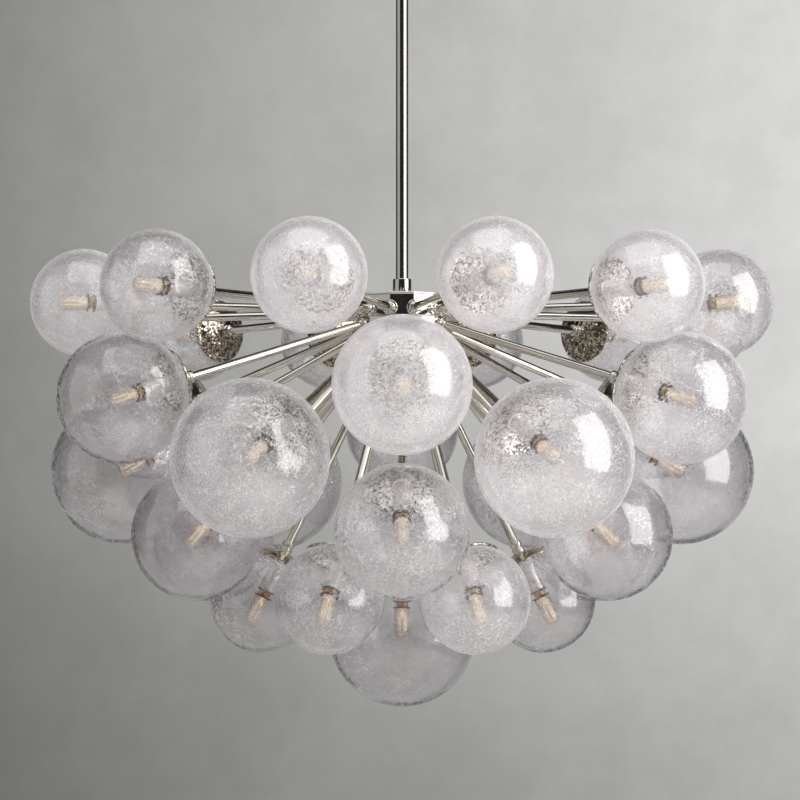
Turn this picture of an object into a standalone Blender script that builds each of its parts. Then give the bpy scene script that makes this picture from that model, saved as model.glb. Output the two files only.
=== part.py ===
"""Chandelier with thirty-seven crackled glass globes on straight arms round one hub.

Metres, +Z up. The origin is the middle of the ceiling plate's upper face, and everything
hangs below it. Azimuth 0 faces -Y, the front, and turns towards +X.
"""
import math

import bpy
import bmesh
from mathutils import Matrix, Vector

MM = 0.001

# Fits and cuts
GAP = 0.3 * MM                      # clearance between two pieces that meet
OVERRUN = 2.0 * MM                  # how far a cutter runs past the face that it cuts
JOIN = 1.5 * MM                     # how far two joined forms overlap
WELD = 0.01 * MM                    # merge distance of a turned outline on its axis

# Globes
CLUSTER_RADIUS = 458.0 * MM         # hub centre to the centre of every globe
SMALL_GLOBE_RADIUS = 75.0 * MM
MEDIUM_GLOBE_RADIUS = 90.0 * MM
LARGE_GLOBE_RADIUS = 105.0 * MM
GLASS_WALL = 2.2 * MM
MOUTH_RADIUS = 44.5 * MM            # outer edge of the glass where it meets its cup
FACET_SHARE = 1.035                 # rings stand out so that flat faces straddle the round skin

# Tiers of globes: name, count, azimuth of the first, elevation, globe radius
TIERS = (
    ("tier1", 12, 15.0, 0.0, SMALL_GLOBE_RADIUS),
    ("tier2", 6, 0.0, -17.8, MEDIUM_GLOBE_RADIUS),
    ("tier3", 6, 30.0, -29.9, LARGE_GLOBE_RADIUS),
    ("tier4", 6, 0.0, -45.0, MEDIUM_GLOBE_RADIUS),
    ("tier5", 6, 30.0, -64.1, SMALL_GLOBE_RADIUS),
    ("tier6", 1, 0.0, -90.0, LARGE_GLOBE_RADIUS),
)

# Arms, cups and lamps
ARM_RADIUS = 6.0 * MM
CUP_RADIUS = 47.0 * MM
CUP_HEIGHT = 15.0 * MM              # from the rim to the collar
CUP_WALL = 2.0 * MM                 # at the rim, where the glass sits
CUP_SEAT_THICKNESS = 4.0 * MM       # metal between the collar and the lampholder's seat
CUP_SHOULDER_SHARES = (0.70, 0.58)  # of the cup's radius and height, where its dome turns down
CUP_COLLAR_WALL = 3.0 * MM          # the collar's radius beyond the arm's
CUP_COLLAR_LENGTH = 15.0 * MM
SLEEVE_RADIUS = 11.5 * MM           # lampholder sleeve
SLEEVE_BORE_RADIUS = 8.0 * MM
SLEEVE_REACH = 60.0 * MM            # into the globe, from where its full sphere would begin
BASE_RADIUS = 9.3 * MM              # brass cap of the bulb
BASE_LENGTH = 10.0 * MM
BASE_SPIGOT_LENGTH = 16.0 * MM      # screwed part inside the sleeve
BULB_RADIUS = 11.2 * MM
BULB_LENGTH = 43.0 * MM
BULB_NECK_LENGTH = 4.0 * MM
BULB_DOME_STEPS = 3

# Hub: a twelve-sided drum over a bowl
HUB_SIDES = 12
HUB_CORNER_RADIUS = 65.0 * MM
HUB_WALL = 8.0 * MM
HUB_RISE = 20.0 * MM                # drum's top edge above the arms' centre
HUB_LID_THICKNESS = 2.7 * MM
BOWL_ARC_STEPS = 3
TIE_ROD_RADIUS = 7.2 * MM
TIE_ROD_GRIP = 15.0 * MM            # length of the rod inside the stem
TIE_ROD_TAIL = 12.0 * MM            # length of the rod below the bowl
ROD_HOLE_SLACK = 0.6 * MM           # hole radius beyond the rod's
SOCKET_WALL = 3.0 * MM              # top socket of the bottom arm
SOCKET_NECK_LENGTH = 5.0 * MM

# Stem
STEM_RADIUS = 9.0 * MM
STEM_WALL = 1.5 * MM
STEM_LENGTH = 457.0 * MM
STEM_COLLAR_WALL = 4.2 * MM
STEM_COLLAR_HEIGHT = 24.0 * MM
STEM_COLLAR_BEVEL = 1.2 * MM
CABLE_RADIUS = 3.5 * MM

# Ceiling plate and canopy
PLATE_RADIUS = 55.0 * MM
PLATE_THICKNESS = 4.0 * MM
PLATE_BOSS_WALL = 4.0 * MM
PLATE_BOSS_HEIGHT = 6.0 * MM
SCREW_SLOT_SPACING = 88.9 * MM
SCREW_SLOT_RADIUS = 2.6 * MM
SCREW_SLOT_LENGTH = 9.0 * MM
WIRE_HOLE_RADIUS = 8.0 * MM
WIRE_HOLE_OFFSET = 27.0 * MM
GROUND_SCREW_RADIUS = 2.2 * MM
GROUND_SCREW_HEAD_RADIUS = 4.4 * MM
GROUND_SCREW_HEAD_HEIGHT = 3.0 * MM
GROUND_SCREW_OFFSET = 27.0 * MM
CANOPY_RADIUS = 75.0 * MM
CANOPY_DEPTH = 32.0 * MM
CANOPY_WALL = 1.5 * MM
CANOPY_FLOOR_RADIUS = 50.0 * MM
CANOPY_CURVE_STEPS = 3
NIPPLE_RADIUS = 5.0 * MM
NIPPLE_WALL = 1.2 * MM
LOCK_NUT_RADIUS = 9.0 * MM
LOCK_NUT_HEIGHT = 4.0 * MM
CANOPY_RING_RADIUS = 14.0 * MM
CANOPY_RING_HEIGHT = 8.0 * MM
KNURL_DEPTH = 0.7 * MM
KNURL_COUNT = 14
CONNECTOR_RADIUS = 7.0 * MM
CONNECTOR_TIP_RADIUS = 4.0 * MM
CONNECTOR_HEIGHT = 17.0 * MM
CONNECTOR_RIB_DEPTH = 0.8 * MM
CONNECTOR_RIB_COUNT = 6
CONNECTOR_OFFSET = 36.0 * MM

# Swivel
FORK_RADIUS = 14.0 * MM
FORK_BODY_HEIGHT = 16.0 * MM
FORK_SOCKET_DEPTH = 12.0 * MM
CHEEK_THICKNESS = 4.0 * MM
CHEEK_HALF_WIDTH = 10.0 * MM
PIVOT_DROP = 16.0 * MM              # pivot below the fork's body
PIVOT_RADIUS = 3.0 * MM
PIVOT_HEAD_RADIUS = 5.5 * MM
PIVOT_HEAD_HEIGHT = 3.0 * MM
PIVOT_NUT_HEIGHT = 5.0 * MM
PIVOT_TAIL = 4.0 * MM               # screw end inside its nut
TONGUE_THICKNESS = 10.0 * MM
SHOULDER_DROP = 12.0 * MM           # shoulder below the pivot
SHOULDER_RADIUS = 11.0 * MM
SHOULDER_HEIGHT = 16.0 * MM
SPIGOT_LENGTH = 15.0 * MM

# Facets
GLOBE_SEGMENTS = 8
GLOBE_RINGS = 5
ARM_SEGMENTS = 7
LAMP_SEGMENTS = 12
STEM_SEGMENTS = 12
CANOPY_SEGMENTS = 18
SMALL_SEGMENTS = 10
CORNER_STEPS = 4                    # facets along a quarter or half round of a flat outline
NUT_SIDES = 6
CORNER_ANGLE = math.radians(32.0)   # edges sharper than this stay crisp

# Heights of the stack, from the ceiling down
CANOPY_FLOOR_Z = -(GAP + CANOPY_DEPTH)
RING_TOP_Z = CANOPY_FLOOR_Z - GAP
FORK_TOP_Z = RING_TOP_Z - CANOPY_RING_HEIGHT - GAP
FORK_BOTTOM_Z = FORK_TOP_Z - FORK_BODY_HEIGHT
PIVOT_Z = FORK_BOTTOM_Z - PIVOT_DROP
SHOULDER_Z = PIVOT_Z - SHOULDER_DROP
STEM_TOP_Z = SHOULDER_Z - SHOULDER_HEIGHT - GAP
STEM_BOTTOM_Z = STEM_TOP_Z - STEM_LENGTH
LID_TOP_Z = STEM_BOTTOM_Z - GAP
DRUM_TOP_Z = LID_TOP_Z - HUB_LID_THICKNESS - GAP
HUB_Z = DRUM_TOP_Z - HUB_RISE

# Hub sizes that follow from the tiers, as distances below the hub's centre
HUB_FLAT_RADIUS = HUB_CORNER_RADIUS * math.cos(math.pi / HUB_SIDES)
ARM_ROOT_RADIUS = HUB_FLAT_RADIUS - HUB_WALL / 2
DRUM_SPLIT = HUB_FLAT_RADIUS * math.tan(math.radians(-TIERS[1][3])) / 2
BOWL_ANGLE = math.radians(-(TIERS[2][3] + TIERS[3][3]) / 2)
BOWL_TOP = HUB_FLAT_RADIUS * math.tan(BOWL_ANGLE)
BOWL_RADIUS = math.hypot(HUB_CORNER_RADIUS, BOWL_TOP)
ROD_HOLE_RADIUS = TIE_ROD_RADIUS + ROD_HOLE_SLACK
CABLE_BORE_RADIUS = CABLE_RADIUS + GAP
NIPPLE_BORE_RADIUS = NIPPLE_RADIUS + GAP


def start_collections():
    """Empty scene with one collection for the parts and one for the guides that shape them."""
    for old in list(bpy.data.objects):
        bpy.data.objects.remove(old, do_unlink=True)
    made = []
    for name in ("chandelier", "guides"):
        collection = bpy.data.collections.new(name)
        bpy.context.scene.collection.children.link(collection)
        made.append(collection)
    return made


PARTS, GUIDES = start_collections()


def material(name, colour, roughness, metallic=0.0, transmission=0.0):
    """Principled material with one colour."""
    made = bpy.data.materials.new(name)
    made.use_nodes = True
    shader = made.node_tree.nodes["Principled BSDF"]
    shader.inputs["Base Color"].default_value = (*colour, 1.0)
    shader.inputs["Roughness"].default_value = roughness
    shader.inputs["Metallic"].default_value = metallic
    shader.inputs["Transmission Weight"].default_value = transmission
    made.diffuse_color = (*colour, 1.0)
    return made


NICKEL = material("polished_nickel", (0.74, 0.71, 0.66), 0.12, metallic=1.0)
GLASS = material("crackled_glass", (0.86, 0.85, 0.88), 0.10, transmission=0.9)
BULB_GLASS = material("bulb_glass", (0.95, 0.90, 0.82), 0.05, transmission=0.9)
BRASS = material("brass", (0.78, 0.58, 0.28), 0.25, metallic=1.0)
STEEL = material("zinc_plated_steel", (0.62, 0.62, 0.60), 0.35, metallic=1.0)
PLASTIC = material("connector_plastic", (0.85, 0.45, 0.10), 0.45)
CABLE = material("cable_sheath", (0.80, 0.80, 0.78), 0.50)


def evaluated_mesh(source, name):
    """Mesh of an object with its modifiers, in world space; the object itself goes."""
    bpy.context.view_layer.update()
    graph = bpy.context.evaluated_depsgraph_get()
    mesh = bpy.data.meshes.new_from_object(source.evaluated_get(graph))
    mesh.transform(source.matrix_world)
    mesh.name = name
    bpy.data.objects.remove(source, do_unlink=True)
    return mesh


def finish_shading(mesh):
    """Smooth faces with crisp corners."""
    mesh.shade_smooth()
    mesh.set_sharp_from_angle(angle=CORNER_ANGLE)


def turned_mesh(name, outline, segments, closed=False):
    """Solid turned about Z from (radius, height) points; its outer side runs top to bottom."""
    count = len(outline)
    edges = [(i, i + 1) for i in range(count - 1)]
    if closed:
        edges.append((count - 1, 0))
    line = bpy.data.meshes.new(name + "_outline")
    line.from_pydata([(radius, 0.0, height) for radius, height in outline], edges, [])
    holder = bpy.data.objects.new(name + "_outline", line)
    GUIDES.objects.link(holder)
    screw = holder.modifiers.new("Turn", 'SCREW')
    screw.axis = 'Z'
    screw.steps = segments
    screw.render_steps = segments
    screw.use_merge_vertices = True
    screw.merge_threshold = WELD
    mesh = evaluated_mesh(holder, name)
    finish_shading(mesh)
    return mesh


def flat_mesh(name, points, thickness):
    """Plate of a closed outline of (x, y) points, centred on z = 0."""
    curve = bpy.data.curves.new(name + "_outline", 'CURVE')
    curve.dimensions = '2D'
    curve.fill_mode = 'BOTH'
    curve.extrude = thickness / 2
    spline = curve.splines.new('POLY')
    spline.points.add(len(points) - 1)
    for point, (x, y) in zip(spline.points, points):
        point.co = (x, y, 0.0, 1.0)
    spline.use_cyclic_u = True
    holder = bpy.data.objects.new(name + "_outline", curve)
    GUIDES.objects.link(holder)
    mesh = evaluated_mesh(holder, name)
    weld = bmesh.new()
    weld.from_mesh(mesh)
    bmesh.ops.remove_doubles(weld, verts=weld.verts, dist=WELD)
    bmesh.ops.recalc_face_normals(weld, faces=weld.faces)
    weld.to_mesh(mesh)
    weld.free()
    finish_shading(mesh)
    return mesh


def place(name, mesh, finish, parent=None, matrix=None, collection=PARTS):
    """Object of a mesh; a mesh in world space needs no matrix."""
    made = bpy.data.objects.new(name, mesh)
    collection.objects.link(made)
    if not mesh.materials:
        mesh.materials.append(finish)
    if matrix is not None:
        made.matrix_world = matrix
    if parent is not None:
        made.parent = parent
        made.matrix_parent_inverse = Matrix.Translation(-parent.location)
    return made


def shape_with(target, name, mesh, operation):
    """Cut a guide solid from the target, or join it to the target."""
    guide = place(name, mesh, NICKEL, collection=GUIDES)
    guide.hide_render = True
    guide.display_type = 'WIRE'
    step = target.modifiers.new(name, 'BOOLEAN')
    step.operation = operation
    step.object = guide
    return guide


def rod_mesh(name, radius, start, end, segments=SMALL_SEGMENTS):
    """Solid round bar between two points."""
    start, end = Vector(start), Vector(end)
    bar = bmesh.new()
    bmesh.ops.create_cone(bar, cap_ends=True, segments=segments, radius1=radius,
                          radius2=radius, depth=(end - start).length)
    turn = (end - start).to_track_quat('Z', 'Y').to_matrix().to_4x4()
    bmesh.ops.transform(bar, verts=bar.verts, matrix=Matrix.Translation((start + end) / 2) @ turn)
    mesh = bpy.data.meshes.new(name)
    bar.to_mesh(mesh)
    bar.free()
    finish_shading(mesh)
    return mesh


def joint_empty(name, location, parent=None):
    """Empty on a joint's axis, which carries the pieces that move with it."""
    made = bpy.data.objects.new(name, None)
    PARTS.objects.link(made)
    made.empty_display_size = FORK_RADIUS
    made.location = location
    if parent is not None:
        made.parent = parent
        made.matrix_parent_inverse = Matrix.Translation(-parent.location)
    return made


def outward(azimuth, elevation):
    """Unit vector from the hub's centre; angles in degrees."""
    across, rise = math.radians(azimuth), math.radians(elevation)
    return Vector((math.cos(rise) * math.sin(across), -math.cos(rise) * math.cos(across),
                   math.sin(rise)))


def arm_frame(azimuth, elevation, distance=0.0):
    """Matrix whose +Z points out along an arm, at a distance from the hub's centre."""
    way = outward(azimuth, elevation)
    centre = Vector((0.0, 0.0, HUB_Z)) + way * distance
    return Matrix.Translation(centre) @ way.to_track_quat('Z', 'Y').to_matrix().to_4x4()


def tier_azimuths(tier):
    """Azimuths of one tier's globes, evenly spaced."""
    count, first = tier[1], tier[2]
    return [first + step * 360.0 / count for step in range(count)]


def globe_outline(radius):
    """Outer skin from the far pole to the mouth, then the inner skin back."""
    mouth_height = math.sqrt(radius ** 2 - MOUTH_RADIUS ** 2)
    inner = radius - GLASS_WALL
    inner_mouth = math.sqrt(inner ** 2 - mouth_height ** 2)
    points = []
    for skin, mouth in ((radius, MOUTH_RADIUS), (inner, inner_mouth)):
        last = math.pi - math.asin(mouth / skin)
        arc = [last * step / GLOBE_RINGS for step in range(1, GLOBE_RINGS)]
        reach = skin * FACET_SHARE
        rings = [(reach * math.sin(angle), reach * math.cos(angle)) for angle in arc]
        side = [(0.0, skin), *rings, (mouth, -mouth_height)]
        points += side if skin == radius else side[::-1]
    return points


def cup_rim(radius):
    """Distance from the hub's centre to the rim of a globe's cup."""
    return CLUSTER_RADIUS - math.sqrt(radius ** 2 - MOUTH_RADIUS ** 2) - GAP


def cup_seat(radius):
    """Distance from the hub's centre to the seat of the lampholder, deep in the cup."""
    return cup_rim(radius) - CUP_HEIGHT + CUP_SEAT_THICKNESS


def cup_points(radius):
    """Dished cup from its seat out to the rim, back over its dome and collar to the arm."""
    rim = cup_rim(radius)
    crown = rim - CUP_HEIGHT
    collar = ARM_RADIUS + CUP_COLLAR_WALL
    across, down = CUP_SHOULDER_SHARES
    return [
        (SLEEVE_RADIUS, cup_seat(radius)),
        (CUP_RADIUS - CUP_WALL, rim),
        (CUP_RADIUS, rim),
        (CUP_RADIUS * across, rim - CUP_HEIGHT * down),
        (collar, crown),
        (collar, crown - CUP_COLLAR_LENGTH),
        (ARM_RADIUS, crown - CUP_COLLAR_LENGTH),
    ]


def lit_arm_outline(radius, root):
    """Whole arm with its cup, lampholder and bulb, from the bulb's tip to the hub."""
    sleeve_end = CLUSTER_RADIUS - radius + SLEEVE_REACH
    tip = sleeve_end + BASE_LENGTH + BULB_LENGTH
    return [
        (0.0, tip),
        (BULB_RADIUS, tip - BULB_RADIUS),
        (BASE_RADIUS, sleeve_end),
        (SLEEVE_RADIUS, sleeve_end),
        *cup_points(radius),
        (ARM_RADIUS, root),
        (0.0, root),
    ]


def arm_cluster_mesh(name, tiers, root_of):
    """All the lit arms of some tiers as one mesh, ready to be joined to a hub piece."""
    cluster = bmesh.new()
    for tier in tiers:
        elevation, radius = tier[3], tier[4]
        arm = turned_mesh(tier[0] + "_arm", lit_arm_outline(radius, root_of(tier)), ARM_SEGMENTS)
        for azimuth in tier_azimuths(tier):
            copy = arm.copy()
            copy.transform(arm_frame(azimuth, elevation))
            cluster.from_mesh(copy)
            bpy.data.meshes.remove(copy)
        bpy.data.meshes.remove(arm)
    mesh = bpy.data.meshes.new(name)
    cluster.to_mesh(mesh)
    cluster.free()
    finish_shading(mesh)
    return mesh


def hub_turned_mesh(name, outline):
    """Twelve-sided hub piece, flat side to the front, from points about the hub's centre."""
    mesh = turned_mesh(name, outline, HUB_SIDES, closed=True)
    half_side = Matrix.Rotation(math.pi / HUB_SIDES, 4, 'Z')
    mesh.transform(Matrix.Translation((0.0, 0.0, HUB_Z)) @ half_side)
    return mesh


def drum_root(tier):
    """Where an arm ends inside the drum's upright wall."""
    return ARM_ROOT_RADIUS / math.cos(math.radians(tier[3]))


def bowl_root(tier):
    """Where an arm ends inside the bowl's wall."""
    return BOWL_RADIUS * math.cos(math.pi / HUB_SIDES) - HUB_WALL / 4


def add_globes(parent):
    """Thirty-seven blown glass globes, each open at its cup."""
    for tier in TIERS:
        name, count, _, elevation, radius = tier
        mesh = turned_mesh(name + "_globe", globe_outline(radius), GLOBE_SEGMENTS)
        for number, azimuth in enumerate(tier_azimuths(tier), start=1):
            label = "globe_bottom" if count == 1 else "globe_%s_%02d" % (name, number)
            place(label, mesh, GLASS, parent, arm_frame(azimuth, elevation, CLUSTER_RADIUS))


def drum_outline(top, bottom):
    """Section of the drum's wall between two heights above the hub's centre."""
    inner = HUB_CORNER_RADIUS - HUB_WALL
    return [(HUB_CORNER_RADIUS, top), (HUB_CORNER_RADIUS, bottom), (inner, bottom), (inner, top)]


def bowl_outline():
    """Section of the bowl: part of a sphere about the hub's centre, open for the tie rod."""
    points = []
    for radius, turn_back in ((BOWL_RADIUS, False), (BOWL_RADIUS - HUB_WALL, True)):
        first = math.asin((BOWL_TOP + GAP) / radius)
        last = math.acos(ROD_HOLE_RADIUS / radius)
        arc = [first + (last - first) * step / BOWL_ARC_STEPS for step in range(BOWL_ARC_STEPS + 1)]
        side = [(radius * math.cos(angle), -radius * math.sin(angle)) for angle in arc]
        points += side[::-1] if turn_back else side
    return points


def add_hub(parent):
    """Lid, two drum rings and the bowl, each with the arms that it carries."""
    lid_bottom = HUB_RISE + GAP
    lid_top = lid_bottom + HUB_LID_THICKNESS
    lid = [(HUB_CORNER_RADIUS, lid_top), (HUB_CORNER_RADIUS, lid_bottom),
           (ROD_HOLE_RADIUS, lid_bottom), (ROD_HOLE_RADIUS, lid_top)]
    place("hub_lid", hub_turned_mesh("hub_lid", lid), NICKEL, parent)

    pieces = (
        ("hub_upper_ring", drum_outline(HUB_RISE, -DRUM_SPLIT), TIERS[:1], drum_root),
        ("hub_middle_ring", drum_outline(-DRUM_SPLIT - GAP, -BOWL_TOP), TIERS[1:3], drum_root),
        ("hub_lower_bowl", bowl_outline(), TIERS[3:5], bowl_root),
    )
    for name, outline, tiers, root_of in pieces:
        body = place(name, hub_turned_mesh(name, outline), NICKEL, parent)
        shape_with(body, name + "_arms", arm_cluster_mesh(name + "_arms", tiers, root_of), 'UNION')


def add_tie_rod(parent):
    """Threaded tube that clamps the hub between the stem and the bottom arm."""
    top = STEM_BOTTOM_Z + TIE_ROD_GRIP
    bottom = HUB_Z - BOWL_RADIUS - TIE_ROD_TAIL
    tube = [(TIE_ROD_RADIUS, top), (TIE_ROD_RADIUS, bottom),
            (CABLE_BORE_RADIUS, bottom), (CABLE_BORE_RADIUS, top)]
    place("hub_tie_rod", turned_mesh("hub_tie_rod", tube, SMALL_SEGMENTS, closed=True), STEEL, parent)


def add_bottom_lamp(parent):
    """The lowest lamp, with its arm, sleeve, brass cap and bulb as pieces of their own."""
    radius = TIERS[5][4]
    frame = arm_frame(TIERS[5][2], TIERS[5][3])
    seat = cup_seat(radius)
    socket_top = BOWL_RADIUS + GAP
    socket_floor = BOWL_RADIUS + TIE_ROD_TAIL + GAP
    socket_bottom = socket_floor + SOCKET_WALL
    socket_bore = TIE_ROD_RADIUS + GAP
    socket_radius = socket_bore + SOCKET_WALL
    arm = [
        (0.0, seat),
        *cup_points(radius),
        (ARM_RADIUS, socket_bottom + SOCKET_NECK_LENGTH),
        (socket_radius, socket_bottom),
        (socket_radius, socket_top),
        (socket_bore, socket_top),
        (socket_bore, socket_floor),
        (0.0, socket_floor),
    ]
    place("bottom_arm", turned_mesh("bottom_arm", arm, LAMP_SEGMENTS), NICKEL, parent, frame)

    sleeve_top = seat + GAP
    sleeve_end = CLUSTER_RADIUS - radius + SLEEVE_REACH
    sleeve = [(SLEEVE_RADIUS, sleeve_end), (SLEEVE_RADIUS, sleeve_top),
              (SLEEVE_BORE_RADIUS, sleeve_top), (SLEEVE_BORE_RADIUS, sleeve_end)]
    mesh = turned_mesh("bottom_lampholder", sleeve, LAMP_SEGMENTS, closed=True)
    place("bottom_lampholder", mesh, NICKEL, parent, frame)

    spigot = SLEEVE_BORE_RADIUS - GAP
    base_start = sleeve_end + GAP
    base_end = sleeve_end + BASE_LENGTH
    base = [(0.0, base_end), (BASE_RADIUS, base_end), (BASE_RADIUS, base_start),
            (spigot, base_start), (spigot, base_start - BASE_SPIGOT_LENGTH),
            (0.0, base_start - BASE_SPIGOT_LENGTH)]
    place("bottom_bulb_cap", turned_mesh("bottom_bulb_cap", base, LAMP_SEGMENTS), BRASS, parent, frame)

    tip = base_end + BULB_LENGTH
    quarter = [math.pi / 2 * step / BULB_DOME_STEPS for step in range(BULB_DOME_STEPS + 1)]
    bulb = [(BULB_RADIUS * math.sin(angle), tip - BULB_RADIUS * (1.0 - math.cos(angle)))
            for angle in quarter]
    bulb[0] = (0.0, tip)
    bulb += [(BULB_RADIUS, base_end + BULB_NECK_LENGTH), (BASE_RADIUS, base_end + GAP),
             (0.0, base_end + GAP)]
    place("bottom_bulb", turned_mesh("bottom_bulb", bulb, LAMP_SEGMENTS), BULB_GLASS, parent, frame)


def add_stem(parent):
    """Stem tube, the collar at its foot and the lead inside."""
    inner = STEM_RADIUS - STEM_WALL
    tube = [(STEM_RADIUS, STEM_TOP_Z), (STEM_RADIUS, STEM_BOTTOM_Z),
            (inner, STEM_BOTTOM_Z), (inner, STEM_TOP_Z)]
    place("stem", turned_mesh("stem", tube, STEM_SEGMENTS, closed=True), NICKEL, parent)

    bore = STEM_RADIUS + GAP
    outer = bore + STEM_COLLAR_WALL
    bottom = LID_TOP_Z + GAP
    top = bottom + STEM_COLLAR_HEIGHT
    collar = [(outer - STEM_COLLAR_BEVEL, top), (outer, top - STEM_COLLAR_BEVEL),
              (outer, bottom), (bore, bottom), (bore, top)]
    mesh = turned_mesh("stem_collar", collar, STEM_SEGMENTS, closed=True)
    place("stem_collar", mesh, NICKEL, parent)

    lead_top = (0.0, 0.0, SHOULDER_Z - SHOULDER_HEIGHT - GAP)
    lead_end = (0.0, 0.0, HUB_Z)
    mesh = rod_mesh("stem_cable", CABLE_RADIUS, lead_end, lead_top)
    place("stem_cable", mesh, CABLE, parent)


def stadium_points(half_width, top):
    """Outline of a plate with a round lower end about the origin and a square upper end."""
    steps = 2 * CORNER_STEPS
    turn = [math.pi + math.pi * step / steps for step in range(steps + 1)]
    return [(half_width * math.cos(angle), half_width * math.sin(angle)) for angle in turn] + [
        (half_width, top), (-half_width, top)]


def upright(mesh, offset):
    """Stand a flat plate up with its thickness along Y, at a place along Y, on the pivot."""
    mesh.transform(Matrix.Translation((0.0, offset, PIVOT_Z)) @ Matrix.Rotation(math.pi / 2, 4, 'X'))
    return mesh


def pivot_hole(name):
    """Cutter for the pivot's hole, through everything along Y."""
    reach = TONGUE_THICKNESS + CHEEK_THICKNESS + OVERRUN
    return rod_mesh(name, PIVOT_RADIUS + GAP, (0.0, -reach, PIVOT_Z), (0.0, reach, PIVOT_Z))


def add_hexagon_nut(name, radius, height, bore, frame, finish, parent=None):
    """Hexagon nut that hangs down from its frame's origin along -Z."""
    blank = [(0.0, 0.0), (radius, 0.0), (radius, -height), (0.0, -height)]
    mesh = turned_mesh(name, blank, NUT_SIDES)
    mesh.transform(frame)
    nut = place(name, mesh, finish, parent)
    drill = rod_mesh(name + "_hole", bore, frame @ Vector((0.0, 0.0, -height - OVERRUN)),
                     frame @ Vector((0.0, 0.0, OVERRUN)))
    shape_with(nut, name + "_hole", drill, 'DIFFERENCE')


def add_fork(parent):
    """Upper half of the swivel: a socket on the nipple and two cheeks."""
    socket_floor = FORK_TOP_Z - FORK_SOCKET_DEPTH
    outline = [(0.0, socket_floor), (NIPPLE_BORE_RADIUS, socket_floor), (NIPPLE_BORE_RADIUS, FORK_TOP_Z),
               (FORK_RADIUS, FORK_TOP_Z), (FORK_RADIUS, FORK_BOTTOM_Z), (0.0, FORK_BOTTOM_Z)]
    body = turned_mesh("swivel_fork", outline, STEM_SEGMENTS)
    fork = place("swivel_fork", body, NICKEL, parent)
    middle = TONGUE_THICKNESS / 2 + GAP + CHEEK_THICKNESS / 2
    for name, offset in (("fork_cheek_front", -middle), ("fork_cheek_back", middle)):
        points = stadium_points(CHEEK_HALF_WIDTH, PIVOT_DROP + JOIN)
        shape_with(fork, name, upright(flat_mesh(name, points, CHEEK_THICKNESS), offset), 'UNION')
    shape_with(fork, "fork_pivot_hole", pivot_hole("fork_pivot_hole"), 'DIFFERENCE')


def add_pivot(parent):
    """Pivot screw along Y with its head in front and a hexagonal nut behind."""
    face = TONGUE_THICKNESS / 2 + GAP + CHEEK_THICKNESS + GAP
    head = [(0.0, face + PIVOT_HEAD_HEIGHT), (PIVOT_HEAD_RADIUS, face + PIVOT_HEAD_HEIGHT),
            (PIVOT_HEAD_RADIUS, face), (PIVOT_RADIUS, face),
            (PIVOT_RADIUS, -face - PIVOT_TAIL), (0.0, -face - PIVOT_TAIL)]
    frame = Matrix.Translation((0.0, 0.0, PIVOT_Z)) @ Matrix.Rotation(math.pi / 2, 4, 'X')
    place("pivot_screw", turned_mesh("pivot_screw", head, SMALL_SEGMENTS), NICKEL, parent, frame)

    nut_frame = frame @ Matrix.Translation((0.0, 0.0, -face))
    add_hexagon_nut("pivot_nut", PIVOT_HEAD_RADIUS, PIVOT_NUT_HEIGHT, PIVOT_RADIUS + GAP,
                    nut_frame, NICKEL, parent)


def add_tongue(parent):
    """Lower half of the swivel: an eye on the pivot, a shoulder and a spigot in the stem."""
    bottom = SHOULDER_Z - SHOULDER_HEIGHT
    spigot = STEM_RADIUS - STEM_WALL - GAP
    outline = [(0.0, SHOULDER_Z), (SHOULDER_RADIUS, SHOULDER_Z), (SHOULDER_RADIUS, bottom),
               (spigot, bottom), (spigot, bottom - SPIGOT_LENGTH),
               (CABLE_BORE_RADIUS, bottom - SPIGOT_LENGTH), (CABLE_BORE_RADIUS, bottom), (0.0, bottom)]
    tongue = place("swivel_tongue", turned_mesh("swivel_tongue", outline, STEM_SEGMENTS), NICKEL, parent)
    points = stadium_points(CHEEK_HALF_WIDTH, SHOULDER_DROP + JOIN)
    plate = flat_mesh("tongue_eye", points, TONGUE_THICKNESS)
    plate.transform(Matrix.Rotation(math.pi, 4, 'Z'))
    shape_with(tongue, "tongue_eye", upright(plate, 0.0), 'UNION')
    shape_with(tongue, "tongue_pivot_hole", pivot_hole("tongue_pivot_hole"), 'DIFFERENCE')


def slot_points(radius, length):
    """Outline of a round-ended slot along X."""
    reach = length / 2 - radius
    points = []
    for side, first in ((1, -math.pi / 2), (-1, math.pi / 2)):
        for step in range(CORNER_STEPS + 1):
            angle = first + math.pi * step / CORNER_STEPS
            points.append((side * reach + radius * math.cos(angle), radius * math.sin(angle)))
    return points


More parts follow.
